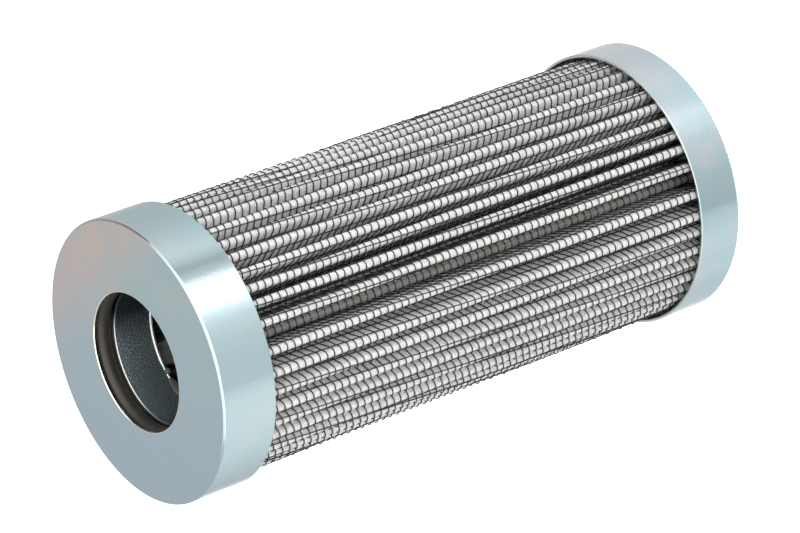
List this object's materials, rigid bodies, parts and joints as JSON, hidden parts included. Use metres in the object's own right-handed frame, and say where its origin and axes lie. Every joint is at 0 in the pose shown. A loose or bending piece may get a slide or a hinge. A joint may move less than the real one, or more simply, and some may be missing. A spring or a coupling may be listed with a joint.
{
  "type": "hydraulic filter element",
  "caption": "Pleated hydraulic filter element with mesh-backed media, pressed steel end caps and a sealed spigot bore.",
  "frame": {"origin": "centre of the closed cap's flat face, which the element stands on", "axes": "+Z along the element's axis towards the open end; the side seam lies 98.9 degrees clockwise of +X, seen from the open end"},
  "size_m": [0.047, 0.047, 0.106],
  "materials": {
    "plated_cap_steel": "bright zinc plate with a pale blue passivate",
    "collar_steel": "dark zinc plate, finely cross-hatched",
    "tube_steel": "dull zinc plate",
    "coated_wire": "dark epoxy coating on woven steel wire",
    "fleece": "matt white spunbond fleece",
    "glass_fibre": "matt white glass fibre paper",
    "potting_adhesive": "cured cream epoxy",
    "seal_rubber": "satin dark brown rubber"
  },
  "bodies": {
    "root": {"closed_end_cap": "plated_cap_steel", "closed_end_potting": "potting_adhesive", "centre_tube": "tube_steel", "inner_mesh": "coated_wire", "support_fleece": "fleece", "filter_media": "glass_fibre", "prefilter_fleece": "fleece", "outer_mesh": "coated_wire", "seam_strip": "potting_adhesive", "open_end_potting": "potting_adhesive", "seal_collar": "collar_steel", "seal_ring": "seal_rubber", "open_end_cap": "plated_cap_steel"}
  },
  "joints": []
}
